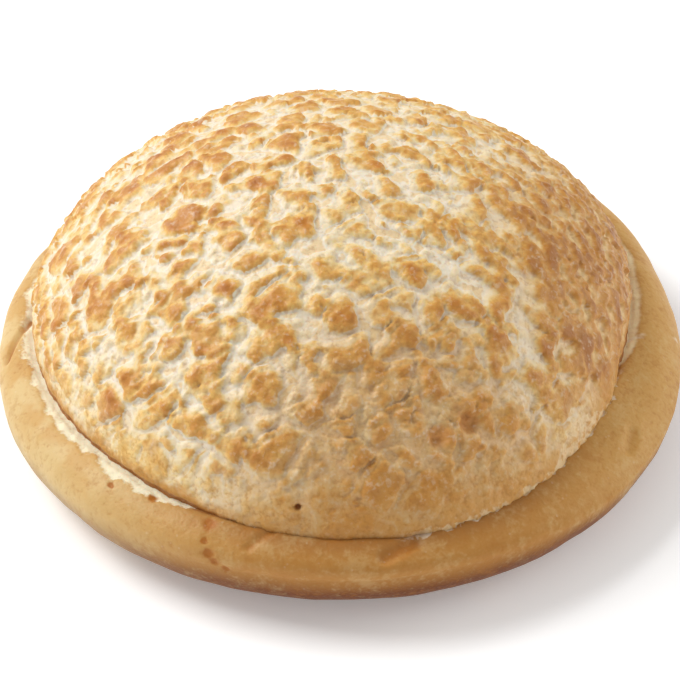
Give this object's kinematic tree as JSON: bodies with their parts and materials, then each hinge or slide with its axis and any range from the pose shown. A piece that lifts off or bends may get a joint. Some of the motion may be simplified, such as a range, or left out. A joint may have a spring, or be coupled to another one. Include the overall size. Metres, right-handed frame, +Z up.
{
  "type": "tiger bread roll",
  "caption": "Round white bread roll with a domed, crackled rice-paste crust rising out of a smooth ring of plain dough, flat underneath.",
  "frame": {"origin": "middle of the flat underside, under the middle of the roll's box", "axes": "+Z up through the crown; the roll's shown side faces -Y; +X to its right"},
  "size_m": [0.108, 0.1126, 0.0469],
  "materials": {
    "tiger_crust": "dry baked crust, golden-brown plates of rice paste on cream cracks",
    "plain_dough": "thin smooth golden crust with a faint sheen"
  },
  "bodies": {
    "root": {"tiger_roll": "tiger_crust"}
  },
  "joints": []
}
